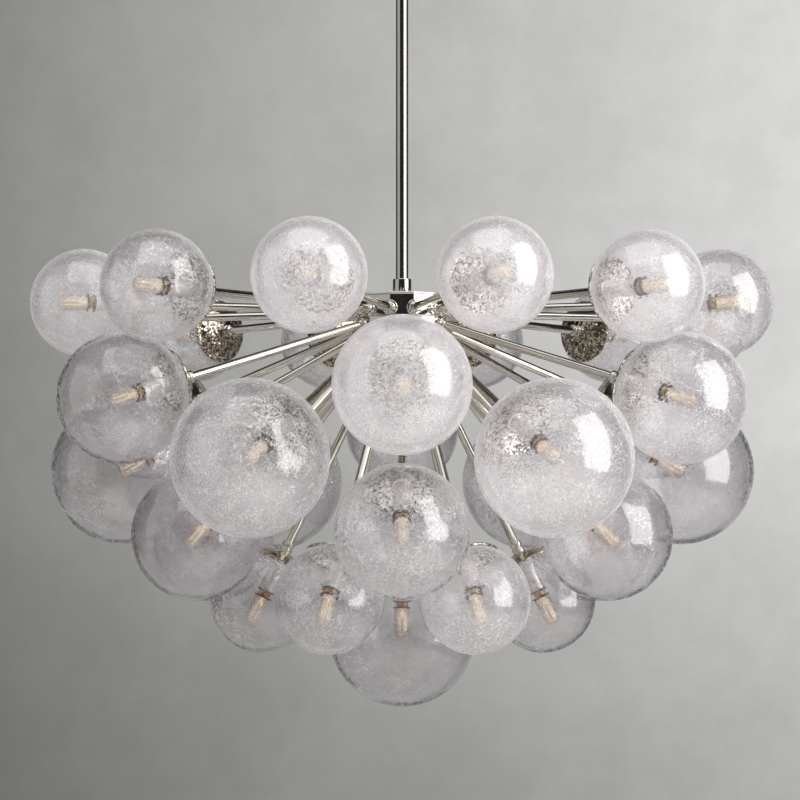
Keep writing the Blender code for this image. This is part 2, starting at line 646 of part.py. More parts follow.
def add_ceiling_plate():
    """Steel plate that screws to the ceiling box, with a boss for the nipple."""
    boss_bottom = -PLATE_THICKNESS - PLATE_BOSS_HEIGHT
    boss_radius = NIPPLE_BORE_RADIUS + PLATE_BOSS_WALL
    outline = [(0.0, 0.0), (PLATE_RADIUS, 0.0), (PLATE_RADIUS, -PLATE_THICKNESS),
               (boss_radius, -PLATE_THICKNESS), (boss_radius, boss_bottom),
               (NIPPLE_BORE_RADIUS, boss_bottom), (NIPPLE_BORE_RADIUS, -PLATE_THICKNESS),
               (0.0, -PLATE_THICKNESS)]
    plate = place("ceiling_plate", turned_mesh("ceiling_plate", outline, CANOPY_SEGMENTS), STEEL)
    depth = PLATE_THICKNESS + OVERRUN
    for name, side in (("slot_right", 1), ("slot_left", -1)):
        slot = flat_mesh(name, slot_points(SCREW_SLOT_RADIUS, SCREW_SLOT_LENGTH), 2 * depth)
        slot.transform(Matrix.Translation((side * SCREW_SLOT_SPACING / 2, 0.0, 0.0)))
        shape_with(plate, name, slot, 'DIFFERENCE')
    holes = (("wire_hole", WIRE_HOLE_RADIUS, WIRE_HOLE_OFFSET),
             ("ground_hole", GROUND_SCREW_RADIUS + GAP, -GROUND_SCREW_OFFSET))
    for name, radius, offset in holes:
        drill = rod_mesh(name, radius, (0.0, offset, -depth), (0.0, offset, OVERRUN))
        shape_with(plate, name, drill, 'DIFFERENCE')


def add_ground_screw():
    """Green-wire screw under the ceiling plate."""
    head_top = -PLATE_THICKNESS - GAP
    outline = [(0.0, -GAP), (GROUND_SCREW_RADIUS, -GAP), (GROUND_SCREW_RADIUS, head_top),
               (GROUND_SCREW_HEAD_RADIUS, head_top),
               (GROUND_SCREW_HEAD_RADIUS, head_top - GROUND_SCREW_HEAD_HEIGHT),
               (0.0, head_top - GROUND_SCREW_HEAD_HEIGHT)]
    frame = Matrix.Translation((0.0, -GROUND_SCREW_OFFSET, 0.0))
    place("ground_screw", turned_mesh("ground_screw", outline, SMALL_SEGMENTS), STEEL, None, frame)


def add_canopy():
    """Spun canopy: a straight rim, a quarter-round shoulder and a flat floor."""
    fall = CANOPY_RADIUS - CANOPY_FLOOR_RADIUS
    points = []
    for inset, turn_back in ((0.0, False), (CANOPY_WALL, True)):
        quarter = [math.pi / 2 * step / CANOPY_CURVE_STEPS for step in range(CANOPY_CURVE_STEPS + 1)]
        side = [(CANOPY_RADIUS - inset, -GAP)]
        side += [(CANOPY_FLOOR_RADIUS + (fall - inset) * math.cos(angle),
                  CANOPY_FLOOR_Z + fall - (fall - inset) * math.sin(angle)) for angle in quarter]
        side.append((NIPPLE_BORE_RADIUS, CANOPY_FLOOR_Z + inset))
        points += side[::-1] if turn_back else side
    place("canopy", turned_mesh("canopy", points, CANOPY_SEGMENTS, closed=True), NICKEL)


def add_nipple():
    """Threaded nipple from the plate through the canopy into the fork, with its lock nut."""
    top = -PLATE_THICKNESS - GAP
    bottom = FORK_TOP_Z - FORK_SOCKET_DEPTH + GAP
    bore = NIPPLE_RADIUS - NIPPLE_WALL
    tube = [(NIPPLE_RADIUS, top), (NIPPLE_RADIUS, bottom), (bore, bottom), (bore, top)]
    mesh = turned_mesh("canopy_nipple", tube, SMALL_SEGMENTS, closed=True)
    place("canopy_nipple", mesh, STEEL)

    nut_frame = Matrix.Translation((0.0, 0.0, -PLATE_THICKNESS - PLATE_BOSS_HEIGHT - GAP))
    add_hexagon_nut("nipple_lock_nut", LOCK_NUT_RADIUS, LOCK_NUT_HEIGHT, NIPPLE_BORE_RADIUS,
                    nut_frame, STEEL)


def star_points(radius, depth, count):
    """Outline of a ribbed knob: its radius dips between one rib and the next."""
    points = []
    for step in range(2 * count):
        reach = radius - depth * (step % 2)
        angle = math.pi * step / count
        points.append((reach * math.cos(angle), reach * math.sin(angle)))
    return points


def add_canopy_ring():
    """Knurled ring that holds the canopy up against the ceiling."""
    points = star_points(CANOPY_RING_RADIUS, KNURL_DEPTH, KNURL_COUNT)
    mesh = flat_mesh("canopy_ring", points, CANOPY_RING_HEIGHT)
    mesh.transform(Matrix.Translation((0.0, 0.0, RING_TOP_Z - CANOPY_RING_HEIGHT / 2)))
    ring = place("canopy_ring", mesh, NICKEL)
    drill = rod_mesh("canopy_ring_hole", NIPPLE_BORE_RADIUS,
                     (0.0, 0.0, RING_TOP_Z - CANOPY_RING_HEIGHT - OVERRUN),
                     (0.0, 0.0, RING_TOP_Z + OVERRUN))
    shape_with(ring, "canopy_ring_hole", drill, 'DIFFERENCE')


def add_wire_connector():
    """Ribbed twist-on connector, standing on the canopy's floor."""
    bottom = CANOPY_FLOOR_Z + CANOPY_WALL + GAP
    points = star_points(CONNECTOR_RADIUS, CONNECTOR_RIB_DEPTH, CONNECTOR_RIB_COUNT)
    body = bmesh.new()
    corners = [body.verts.new((x, y, 0.0)) for x, y in points]
    foot = body.faces.new(corners)
    grown = bmesh.ops.extrude_face_region(body, geom=[foot])
    crown = [item for item in grown["geom"] if isinstance(item, bmesh.types.BMVert)]
    taper = CONNECTOR_TIP_RADIUS / CONNECTOR_RADIUS
    bmesh.ops.scale(body, vec=(taper, taper, 1.0), verts=crown)
    bmesh.ops.translate(body, vec=(0.0, 0.0, CONNECTOR_HEIGHT), verts=crown)
    bmesh.ops.recalc_face_normals(body, faces=body.faces)
    mesh = bpy.data.meshes.new("wire_connector")
    body.to_mesh(mesh)
    body.free()
    finish_shading(mesh)
    place("wire_connector", mesh, PLASTIC, None, Matrix.Translation((CONNECTOR_OFFSET, 0.0, bottom)))


def build():
    """Everything that stays on the ceiling, then the swivel, then what hangs from it."""
    add_ceiling_plate()
    add_ground_screw()
    add_canopy()
    add_nipple()
    add_canopy_ring()
    add_wire_connector()

    turn_axis = joint_empty("swivel_turn_axis", Vector((0.0, 0.0, FORK_TOP_Z)))
    tilt_axis = joint_empty("swivel_tilt_axis", Vector((0.0, 0.0, PIVOT_Z)), turn_axis)
    add_fork(turn_axis)
    add_pivot(turn_axis)
    add_tongue(tilt_axis)
    add_stem(tilt_axis)
    add_hub(tilt_axis)
    add_tie_rod(tilt_axis)
    add_bottom_lamp(tilt_axis)
    add_globes(tilt_axis)


build()
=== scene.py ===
"""Looks of the chandelier: blown crackled globes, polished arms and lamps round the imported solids.

Metres, +Z up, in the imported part's frame. The photograph looks along +Y.
"""
import math
import random
from collections import namedtuple
from types import SimpleNamespace

import bpy
import bmesh
from mathutils import Matrix, Vector


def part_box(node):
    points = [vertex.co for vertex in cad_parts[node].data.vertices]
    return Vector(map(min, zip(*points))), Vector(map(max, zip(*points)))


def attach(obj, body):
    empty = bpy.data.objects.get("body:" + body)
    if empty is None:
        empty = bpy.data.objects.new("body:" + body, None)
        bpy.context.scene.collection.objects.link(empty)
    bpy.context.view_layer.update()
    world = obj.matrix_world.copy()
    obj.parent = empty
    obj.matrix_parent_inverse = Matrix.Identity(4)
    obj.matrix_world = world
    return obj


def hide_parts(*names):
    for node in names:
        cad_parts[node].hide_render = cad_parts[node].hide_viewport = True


MM = 0.001
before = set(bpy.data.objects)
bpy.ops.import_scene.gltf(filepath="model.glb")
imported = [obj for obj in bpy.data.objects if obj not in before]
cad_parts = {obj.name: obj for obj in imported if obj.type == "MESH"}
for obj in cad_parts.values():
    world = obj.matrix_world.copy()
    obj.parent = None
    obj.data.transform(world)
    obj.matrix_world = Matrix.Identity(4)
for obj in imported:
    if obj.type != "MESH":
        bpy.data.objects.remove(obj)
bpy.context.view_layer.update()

# Sizes that the solids share
GAP = 0.3 * MM
CLUSTER_RADIUS = 458.0 * MM
GLASS_WALL = 2.2 * MM
MOUTH_RADIUS = 44.5 * MM
ARM_RADIUS = 6.0 * MM
CUP_RADIUS = 47.0 * MM
CUP_HEIGHT = 15.0 * MM
CUP_COLLAR_RADIUS = 9.0 * MM
CUP_COLLAR_LENGTH = 15.0 * MM
SLEEVE_RADIUS = 11.5 * MM
SLEEVE_REACH = 60.0 * MM
CAP_RADIUS = 9.3 * MM
CAP_LENGTH = 10.0 * MM
BULB_RADIUS = 11.2 * MM
BULB_LENGTH = 43.0 * MM
HUB_SIDES = 12
HUB_CORNER_RADIUS = 65.0 * MM
HUB_WALL = 8.0 * MM
HUB_RISE = 20.0 * MM
HUB_BORE_RADIUS = 7.8 * MM

# Sizes that only the looks have
DRUM_ROOT = 60.0 * MM
DRUM_ROOT_DEPTH = 7.0 * MM
BOWL_ROOT = 66.0 * MM
BOWL_ROOT_DEPTH = 3.0 * MM
BOTTOM_ROOT = 94.0 * MM
FLANGE_RADIUS = 11.0 * MM
NECK_RADIUS = 7.4 * MM
CUP_BORE_RADIUS = 8.2 * MM
CUP_WALL = 1.4 * MM
BULB_WALL = 0.8 * MM
HUB_EDGE = 0.7 * MM
SOFT_EDGE = 0.8 * MM
CRISP_EDGE = 0.3 * MM

# The photograph's camera, fitted to the outlines of its globes; distances from the hub's centre
CAMERA_DISTANCE = 3.899
CAMERA_DROP = 0.4198
CAMERA_TIP_DEG = 4.3
CAMERA_LENS_MM = 122.93
CAMERA_SHIFT = -0.0026

# Scales of the patterns in the globes' glass, from coarse to fine
PATCH_SCALE = 12.0
EDGE_PATCH_SCALE = 13.0
RIPPLE_SCALE = 20.0
CLOUD_SCALE = 30.0
SQUIGGLE_PATCH_SCALE = 48.0
BEND_SCALE = 90.0
SQUIGGLE_SCALE = 125.0
BUBBLE_SCALE = 135.0
EDGE_BREAK_SCALE = 230.0
CHIP_SCALE = 520.0
GRAIN_SCALE = 560.0

# Colours of the globes' glass, and what passes through it
FROST_WHITE = (0.90, 0.875, 0.89)
VEIN_WHITE = (0.99, 0.98, 0.985)
# Painted reflections: the dish's dark and golden metal as seen in chips of the glass
DISH_REFLECTION_DARK = (0.08, 0.075, 0.07)
DISH_REFLECTION_GOLD = (0.52, 0.39, 0.22)
# Painted shade: the broken dark line just inside a clearer globe's outline
RIM_SHADE_DARK = (0.07, 0.07, 0.075)
# Painted shade: the clearer globes let through a darker tint than the milky ones
SHADED_CLEAR_SIGHT = (0.915, 0.905, 0.922)
MILKY_SIGHT = (0.975, 0.965, 0.97)
BACK_SIGHT = (0.972, 0.964, 0.966)
SHADOW_SIGHT = (0.87, 0.87, 0.87)

# Places in the studio, in metres
FLOOR_RADIUS = 14.0
FLOOR_DROP = 2.2
PANEL_AIM_DROP = 0.2

# frosting says how milky the tier's front globe is, and carrier names the node that holds its arms
Tier = namedtuple("Tier", "name count first_azimuth elevation globe_radius frosting carrier")
TIERS = (
    Tier("tier1", 12, 15.0, 0.0, 75.0 * MM, 0.54, "hub_upper_ring"),
    Tier("tier2", 6, 0.0, -17.8, 90.0 * MM, 0.50, "hub_middle_ring"),
    Tier("tier3", 6, 30.0, -29.9, 105.0 * MM, 0.40, "hub_middle_ring"),
    Tier("tier4", 6, 0.0, -45.0, 90.0 * MM, 0.27, "hub_lower_bowl"),
    Tier("tier5", 6, 30.0, -64.1, 75.0 * MM, 0.24, "hub_lower_bowl"),
    Tier("tier6", 1, 0.0, -90.0, 105.0 * MM, 0.12, "bottom_arm"),
)

# Globes that the photograph shows milkier or clearer than their neighbours
MILK_SHARES = {
    "globe_tier1_10": 1.28, "globe_tier1_11": 0.66, "globe_tier1_03": 0.80, "globe_tier2_06": 0.50,
    "globe_tier2_02": 0.90, "globe_tier3_05": 0.42, "globe_tier3_02": 0.45, "globe_tier4_06": 0.60,
    "globe_tier5_01": 1.80, "globe_tier5_06": 1.40, "globe_tier5_05": 0.35, "globe_bottom": 0.60,
}

HUB_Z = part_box("hub_lid")[0].z - GAP - HUB_RISE
HUB_CENTRE = Vector((0.0, 0.0, HUB_Z))
AS_IT_IS = (Matrix.Identity(4),)
random.seed(37)


# Shader helpers
def new_material(name):
    """Material with an empty node tree."""
    made = bpy.data.materials.new(name)
    made.use_nodes = True
    made.node_tree.nodes.clear()
    return made, made.node_tree


def node(tree, kind, inputs=None, **settings):
    """Add a node, set its properties, and fill or link its inputs."""
    made = tree.nodes.new("ShaderNode" + kind)
    for key, value in settings.items():
        setattr(made, key, value)
    for key, value in (inputs or {}).items():
        socket = made.inputs[key]
        if isinstance(value, bpy.types.NodeSocket):
            tree.links.new(value, socket)
        else:
            socket.default_value = value
    return made


def shader(tree, kind, inputs):
    """Output of a new shader node."""
    return node(tree, kind, inputs).outputs[0]


def mix_shader(tree, factor, first, second):
    """Blend of two shaders."""
    return shader(tree, "MixShader", {0: factor, 1: first, 2: second})


def finish_material(tree, surface):
    """Link a shader to the material's output."""
    node(tree, "OutputMaterial", {"Surface": surface})


def math_node(tree, operation, first, second=0.0, clamp=False):
    """One arithmetic step on two values or sockets."""
    return node(tree, "Math", {0: first, 1: second}, operation=operation, use_clamp=clamp).outputs[0]


def times(tree, first, second, clamp=False):
    """Product of two values."""
    return math_node(tree, 'MULTIPLY', first, second, clamp)


def plus(tree, first, second, clamp=False):
    """Sum of two values."""
    return math_node(tree, 'ADD', first, second, clamp)


def larger(tree, first, second):
    """Larger of two values."""
    return math_node(tree, 'MAXIMUM', first, second)


def ramp(tree, value, low, high, start=0.0, end=1.0):
    """Smooth step from start to end while a value goes from low to high."""
    made = node(tree, "MapRange", {"Value": value, "From Min": low, "From Max": high, "To Min": start,
                                   "To Max": end}, interpolation_type='SMOOTHSTEP')
    return made.outputs["Result"]


def between(tree, share, start, end):
    """Smooth step from start to end while a share goes from 0 to 1."""
    return ramp(tree, share, 0.0, 1.0, start, end)


def vector_node(tree, operation, inputs):
    """One step on vectors."""
    return node(tree, "VectorMath", inputs, operation=operation).outputs[0]


def mix_colour(tree, factor, first, second):
    """Blend of two colours."""
    made = tree.nodes.new("ShaderNodeMix")
    made.data_type = 'RGBA'
    for socket, value in ((made.inputs["Factor"], factor), (made.inputs[6], first), (made.inputs[7], second)):
        if isinstance(value, bpy.types.NodeSocket):
            tree.links.new(value, socket)
        else:
            socket.default_value = value if isinstance(value, float) else (*value, 1.0)
    return made.outputs[2]


def noise_at(tree, where, scale, detail=2.0, roughness=0.5):
    """Noise value at a place."""
    return node(tree, "TexNoise", {"Vector": where, "Scale": scale, "Detail": detail,
                                   "Roughness": roughness}).outputs["Fac"]


def warped(tree, where, scale, reach):
    """Place shifted by noise, so that a pattern drawn there looks bent."""
    warp = node(tree, "TexNoise", {"Vector": where, "Scale": scale, "Detail": 2.0}).outputs["Color"]
    shift = vector_node(tree, 'SCALE', {0: warp, "Scale": reach})
    return vector_node(tree, 'ADD', {0: where, 1: shift})


def chips_at(tree, where, scale):
    """Small chips: three random values for each, and a random turn for its surface."""
    colour = node(tree, "TexVoronoi", {"Vector": where, "Scale": scale}).outputs["Color"]
    pick = node(tree, "SeparateXYZ", {0: colour}).outputs
    turn = vector_node(tree, 'SUBTRACT', {0: colour, 1: (0.5, 0.5, 0.5)})
    return pick, turn


def turned_normal(tree, normal, turn, amount):
    """Normal tipped by an amount of a turn."""
    tilt = vector_node(tree, 'SCALE', {0: turn, "Scale": amount})
    tipped = vector_node(tree, 'ADD', {0: normal, 1: tilt})
    return vector_node(tree, 'NORMALIZE', {0: tipped})


def bump_normal(tree, height, strength, distance):
    """Normal of a slightly uneven surface."""
    return node(tree, "Bump", {"Height": height, "Strength": strength,
                               "Distance": distance}).outputs["Normal"]


# Metals and plain finishes
def polished_metal(name, colour, shade, rough_low, rough_high, grain):
    """Plated metal: faint clouds in its colour, uneven gloss and a fine grain."""
    made, tree = new_material(name)
    where = node(tree, "TexCoord").outputs["Object"]
    clouds = noise_at(tree, where, 22.0, 4.0, 0.6)
    tone = mix_colour(tree, ramp(tree, clouds, 0.35, 0.70), colour, shade)
    rough = ramp(tree, noise_at(tree, where, 70.0, 3.0), 0.3, 0.7, rough_low, rough_high)
    normal = bump_normal(tree, noise_at(tree, where, 900.0), grain, 0.2 * MM)
    metal = shader(tree, "BsdfPrincipled", {"Base Color": tone, "Roughness": rough, "Metallic": 1.0,
                                            "Normal": normal})
    finish_material(tree, metal)
    return made


def dish_metal_painted_reflections(name, dark, pale, dark_share, tilt_most, chip_scale, rough_most, painted_calm_top=False):
    """Plated dish with painted reflections of the crackled glass: fine broken chips of a dark and a pale
    tone, and optionally a top painted pale and smooth.
    """
    made, tree = new_material(name)
    coords = node(tree, "TexCoord").outputs
    pick, turn = chips_at(tree, warped(tree, coords["Object"], 70.0, 10.0 * MM), chip_scale)
    reflection_paleness = ramp(tree, pick["X"], dark_share - 0.15, dark_share + 0.15)
    tilt_size = tilt_most
    # Painted reflection: faces turned upward are made pale and hardly tilted
    if painted_calm_top:
        upward = node(tree, "SeparateXYZ", {0: coords["Normal"]}).outputs["Z"]
        calm = ramp(tree, upward, 0.15, 0.45)
        reflection_paleness = larger(tree, reflection_paleness, calm)
        tilt_size = between(tree, calm, tilt_most, 0.03)
    tone = mix_colour(tree, reflection_paleness, dark, pale)
    rough = between(tree, pick["Y"], rough_most / 3.0, rough_most)
    facet = turned_normal(tree, node(tree, "NewGeometry").outputs["Normal"], turn, tilt_size)
    metal = shader(tree, "BsdfPrincipled", {"Base Color": tone, "Roughness": rough, "Metallic": 1.0,
                                            "Normal": facet})
    finish_material(tree, metal)
    return made


def plain_surface(name, colour, shade, roughness, metallic=0.0, scale=120.0, glow=0.0):
    """Moulded or coated surface with slight clouds and grain."""
    made, tree = new_material(name)
    where = node(tree, "TexCoord").outputs["Object"]
    tone = mix_colour(tree, noise_at(tree, where, scale, 3.0), colour, shade)
    normal = bump_normal(tree, noise_at(tree, where, scale * 8.0), 0.15, 0.2 * MM)
    surface = node(tree, "BsdfPrincipled", {"Base Color": tone, "Roughness": roughness, "Metallic": metallic,
                                            "Normal": normal})
    if glow:
        surface.inputs["Emission Color"].default_value = (*colour, 1.0)
        surface.inputs["Emission Strength"].default_value = glow
    finish_material(tree, surface.outputs["BSDF"])
    return made


# Glass
def glass_fields(tree):
    """Places, skins and zones that steer the globes' glass.

    toward_neck is -1 at the pole and near 1 at the mouth; inner_skin is 1 on the inner skin, which is the
    one that shows on a globe's far side; frosting says how milky the globe is.
    """
    def attribute(key, output):
        return node(tree, "Attribute", attribute_name=key).outputs[output]

    at = SimpleNamespace()
    coords = node(tree, "TexCoord").outputs["Object"]
    at.where = vector_node(tree, 'ADD', {0: coords, 1: attribute("blown_seed", "Vector")})
    at.bent = warped(tree, at.where, BEND_SCALE, 11.0 * MM)
    at.toward_neck = attribute("toward_neck", "Fac")
    at.inner_skin = attribute("inner_skin", "Fac")
    at.frosting = attribute("frosting", "Fac")
    at.milk = ramp(tree, at.frosting, 0.05, 0.45)
    at.thick = ramp(tree, at.frosting, 0.34, 0.52)
    at.patch = ramp(tree, noise_at(tree, at.where, PATCH_SCALE, 3.0, 0.6), 0.46, 0.64)
    at.neck = ramp(tree, at.toward_neck, 0.45, 0.82)
    at.dense = times(tree, between(tree, at.thick, 1.0, 0.12),
                     larger(tree, times(tree, at.patch, 0.35), at.neck))
    near_skin = times(tree, math_node(tree, 'SUBTRACT', 1.0, at.inner_skin), at.thick)
    at.front_pole = times(tree, near_skin, ramp(tree, at.toward_neck, -0.85, -0.97))
    return at


def glass_veins(tree, at):
    """White marks: squiggled cracks, fine grain, seeds, and ripples round the mouth."""
    ripple_turns, ripple_wobble = 95.0, 9.0
    middle = math_node(tree, 'SUBTRACT', noise_at(tree, at.bent, SQUIGGLE_SCALE), 0.5)
    ridge = math_node(tree, 'ABSOLUTE', middle)
    squiggles = times(tree, ramp(tree, ridge, 0.0, 0.040, 1.0, 0.0),
                      ramp(tree, noise_at(tree, at.where, SQUIGGLE_PATCH_SCALE), 0.42, 0.54))
    grain = times(tree, ramp(tree, noise_at(tree, at.bent, GRAIN_SCALE, 1.0), 0.55, 0.63),
                  larger(tree, at.dense, times(tree, at.frosting, 0.7)))
    bubbles = node(tree, "TexVoronoi", {"Vector": at.where, "Scale": BUBBLE_SCALE}).outputs
    chance = node(tree, "SeparateXYZ", {0: bubbles["Color"]}).outputs["Z"]
    seeds = times(tree, ramp(tree, bubbles["Distance"], 0.08, 0.20, 1.0, 0.0), ramp(tree, chance, 0.62, 0.66))
    wobble = times(tree, noise_at(tree, at.where, RIPPLE_SCALE), ripple_wobble)
    rings = math_node(tree, 'SINE', plus(tree, times(tree, at.toward_neck, ripple_turns), wobble))
    ripples = times(tree, ramp(tree, rings, 0.80, 0.98),
                    times(tree, ramp(tree, at.toward_neck, 0.50, 0.72), 0.75))
    return larger(tree, larger(tree, squiggles, grain), larger(tree, seeds, ripples))


def glass_rim_shade(tree, at, facing):
    """Painted shade: a broken dark line just inside the outline of the clearer globes."""
    clarity = times(tree, ramp(tree, at.frosting, 0.12, 0.42, 1.0, 0.0),
                    ramp(tree, noise_at(tree, at.where, EDGE_PATCH_SCALE), 0.40, 0.58, 0.1, 1.0))
    line = times(tree, ramp(tree, facing, 0.60, 0.72), ramp(tree, facing, 0.86, 0.94, 1.0, 0.0))
    broken = ramp(tree, noise_at(tree, at.where, EDGE_BREAK_SCALE, 3.0, 0.6), 0.43, 0.53, 0.10, 1.8)
    far_half = ramp(tree, at.toward_neck, 0.25, -0.35, 0.15, 1.0)
    return times(tree, times(tree, line, broken), times(tree, clarity, far_half), clamp=True)


def glass_cover(tree, at, facing, veins, edge):
    """How much of the skin is frosted or marked: a thin near side, and a milkier far side and ends."""
    clouds = ramp(tree, noise_at(tree, at.where, CLOUD_SCALE, 4.0, 0.65), 0.3, 0.75, 0.88, 1.12)
    near_share = between(tree, at.thick, 0.34, 0.48)
    veil = times(tree, times(tree, clouds, at.frosting), between(tree, at.inner_skin, near_share, 1.35))
    ends = larger(tree, ramp(tree, at.toward_neck, -0.40, -0.85), ramp(tree, at.toward_neck, -0.2, 0.5))
    waist_share = between(tree, at.thick, 0.45, 0.85)
    veil = times(tree, veil, between(tree, ends, waist_share, 1.35))
    veil = plus(tree, veil, times(tree, at.front_pole, 0.24))
    vein_share = ramp(tree, at.milk, 0.2, 0.9, 0.26, between(tree, at.thick, 0.60, 0.30))
    cover = plus(tree, veil, times(tree, veins, vein_share))
    rim = ramp(tree, facing, 0.50, 0.95)
    cover = plus(tree, cover, times(tree, rim, between(tree, at.milk, 0.10, 0.50)))
    # The painted dark line at the outline is made opaque too
    edge_cover = plus(tree, times(tree, at.neck, 0.30), times(tree, edge, 0.8))
    return plus(tree, cover, edge_cover, clamp=True)


def glass_tone(tree, at, pick, veins, edge):
    """Colour of the frosting and veins, with painted reflections of the dish: dark and golden chips that
    stand for its metal seen through the crackle.
    """
    tone = mix_colour(tree, veins, FROST_WHITE, VEIN_WHITE)
    mouth = times(tree, ramp(tree, at.toward_neck, 0.56, 0.86), between(tree, at.thick, 0.75, 0.15))
    dark_reflection_specks = larger(tree, times(tree, at.patch, 0.10), times(tree, at.front_pole, 0.55))
    # Painted reflections of the dish: dark chips near the mouth, in patches and at the front pole, and golden
    # ones near the mouth
    painted_dark_reflection = times(tree, ramp(tree, pick["X"], 0.58, 0.66), larger(tree, mouth, dark_reflection_specks))
    painted_gold_reflection = times(tree, ramp(tree, pick["Y"], 0.80, 0.84), mouth)
    tone = mix_colour(tree, times(tree, painted_dark_reflection, 0.8), tone, DISH_REFLECTION_DARK)
    tone = mix_colour(tree, times(tree, painted_gold_reflection, 0.6), tone, DISH_REFLECTION_GOLD)
    # Painted shade: the dark line inside the outline goes over the tone
    return mix_colour(tree, edge, tone, RIM_SHADE_DARK)


def glass_sight(tree, at, pick, turn, waves):
    """Sight through the skin: straight through most of it, and broken up by the chips."""
    # Painted shade: clearer globes pass a darker tint than milky ones
    clear = shader(tree, "BsdfTransparent", {"Color": mix_colour(tree, at.milk, SHADED_CLEAR_SIGHT, MILKY_SIGHT)})
    scramble = larger(tree, at.dense, at.front_pole)
    lens = turned_normal(tree, waves, turn, between(tree, scramble, 0.10, 0.45))
    bent_view = shader(tree, "BsdfRefraction", {"Color": (0.96, 0.95, 0.955, 1.0), "Roughness": 0.02,
                                                "IOR": 1.22, "Normal": lens})
    broken_up = ramp(tree, plus(tree, pick["X"], times(tree, scramble, 0.75)), 0.92, 1.02)
    return mix_shader(tree, broken_up, clear, bent_view)


def glass_gloss(tree, at, pick, turn, waves):
    """Share and shader of the reflections: a soft highlight, and glints from the chips."""
    facet = turned_normal(tree, waves, turn, between(tree, at.dense, 0.12, 1.1))
    smooth = shader(tree, "BsdfGlossy", {"Roughness": between(tree, at.thick, 0.11, 0.16), "Normal": waves})
    glints = shader(tree, "BsdfGlossy", {"Roughness": 0.14, "Normal": facet})
    glint_share = between(tree, at.dense, between(tree, at.thick, 0.25, 0.06), 0.85)
    fresnel = node(tree, "Fresnel", {"IOR": 1.48}).outputs[0]
    bright_chip = times(tree, ramp(tree, pick["Z"], 0.62, 0.70), at.dense)
    shine = times(tree, fresnel, between(tree, at.dense, 3.6, 5.0))
    shine = plus(tree, shine, times(tree, bright_chip, 0.30))
    return math_node(tree, 'MINIMUM', shine, 0.34), mix_shader(tree, glint_share, smooth, glints)


def crackled_glass(name):
    """Blown glass: a clear near side, a frosted far side, squiggled cracks, seeds and glinting chips."""
    made, tree = new_material(name)
    at = glass_fields(tree)
    facing = node(tree, "LayerWeight", {"Blend": 0.5}).outputs["Facing"]
    veins = glass_veins(tree, at)
    # edge is the painted dark line just inside the outline
    edge = glass_rim_shade(tree, at, facing)
    pick, turn = chips_at(tree, at.bent, CHIP_SCALE)
    waves = bump_normal(tree, noise_at(tree, at.where, CLOUD_SCALE, 3.0), 0.35, 1.6 * MM)
    tone = glass_tone(tree, at, pick, veins, edge)
    scatter = shader(tree, "BsdfDiffuse", {"Color": tone, "Normal": waves})
    through = shader(tree, "BsdfTranslucent", {"Color": tone, "Normal": waves})
    frost = mix_shader(tree, 0.4, scatter, through)
    sight = glass_sight(tree, at, pick, turn, waves)
    body = mix_shader(tree, glass_cover(tree, at, facing, veins, edge), sight, frost)
    shine, gloss = glass_gloss(tree, at, pick, turn, waves)
    skin = mix_shader(tree, shine, body, gloss)

    shadow = node(tree, "LightPath").outputs["Is Shadow Ray"]
    behind = node(tree, "NewGeometry").outputs["Backfacing"]
    plain = shader(tree, "BsdfTransparent", {"Color": mix_colour(tree, shadow, BACK_SIGHT, SHADOW_SIGHT)})
    finish_material(tree, mix_shader(tree, larger(tree, shadow, behind), skin, plain))
    return made


def bulb_glass(name):
    """Thin glass with a warm bloom, like a small tubular lamp behind crackled glass."""
    made, tree = new_material(name)
    where = node(tree, "TexCoord").outputs["Object"]
    normal = bump_normal(tree, noise_at(tree, where, 120.0), 0.2, 0.6 * MM)
    streaks = ramp(tree, noise_at(tree, where, 150.0, 3.0), 0.35, 0.65)
    tint = mix_colour(tree, streaks, (1.0, 0.96, 0.90), (1.0, 0.985, 0.96))
    clear = shader(tree, "BsdfTransparent", {"Color": tint})
    bloom = mix_colour(tree, streaks, (1.0, 0.91, 0.80), (1.0, 0.985, 0.96))
    haze = shader(tree, "BsdfDiffuse", {"Color": bloom})
    through = shader(tree, "BsdfTranslucent", {"Color": bloom})
    veil = mix_shader(tree, 0.5, haze, through)
    body = mix_shader(tree, between(tree, streaks, 0.18, 0.36), clear, veil)
    fresnel = node(tree, "Fresnel", {"IOR": 1.5, "Normal": normal}).outputs[0]
    gloss = shader(tree, "BsdfGlossy", {"Roughness": 0.06, "Normal": normal})
    shine = math_node(tree, 'MINIMUM', times(tree, fresnel, 2.5), 0.5)
    finish_material(tree, mix_shader(tree, shine, body, gloss))
    return made


NICKEL = polished_metal("polished_nickel", (0.80, 0.77, 0.71), (0.74, 0.71, 0.65), 0.05, 0.11, 0.02)
BRASS = polished_metal("bulb_brass", (0.86, 0.60, 0.33), (0.74, 0.48, 0.22), 0.18, 0.32, 0.10)
STEEL = polished_metal("zinc_steel", (0.62, 0.62, 0.60), (0.52, 0.52, 0.50), 0.25, 0.45, 0.20)
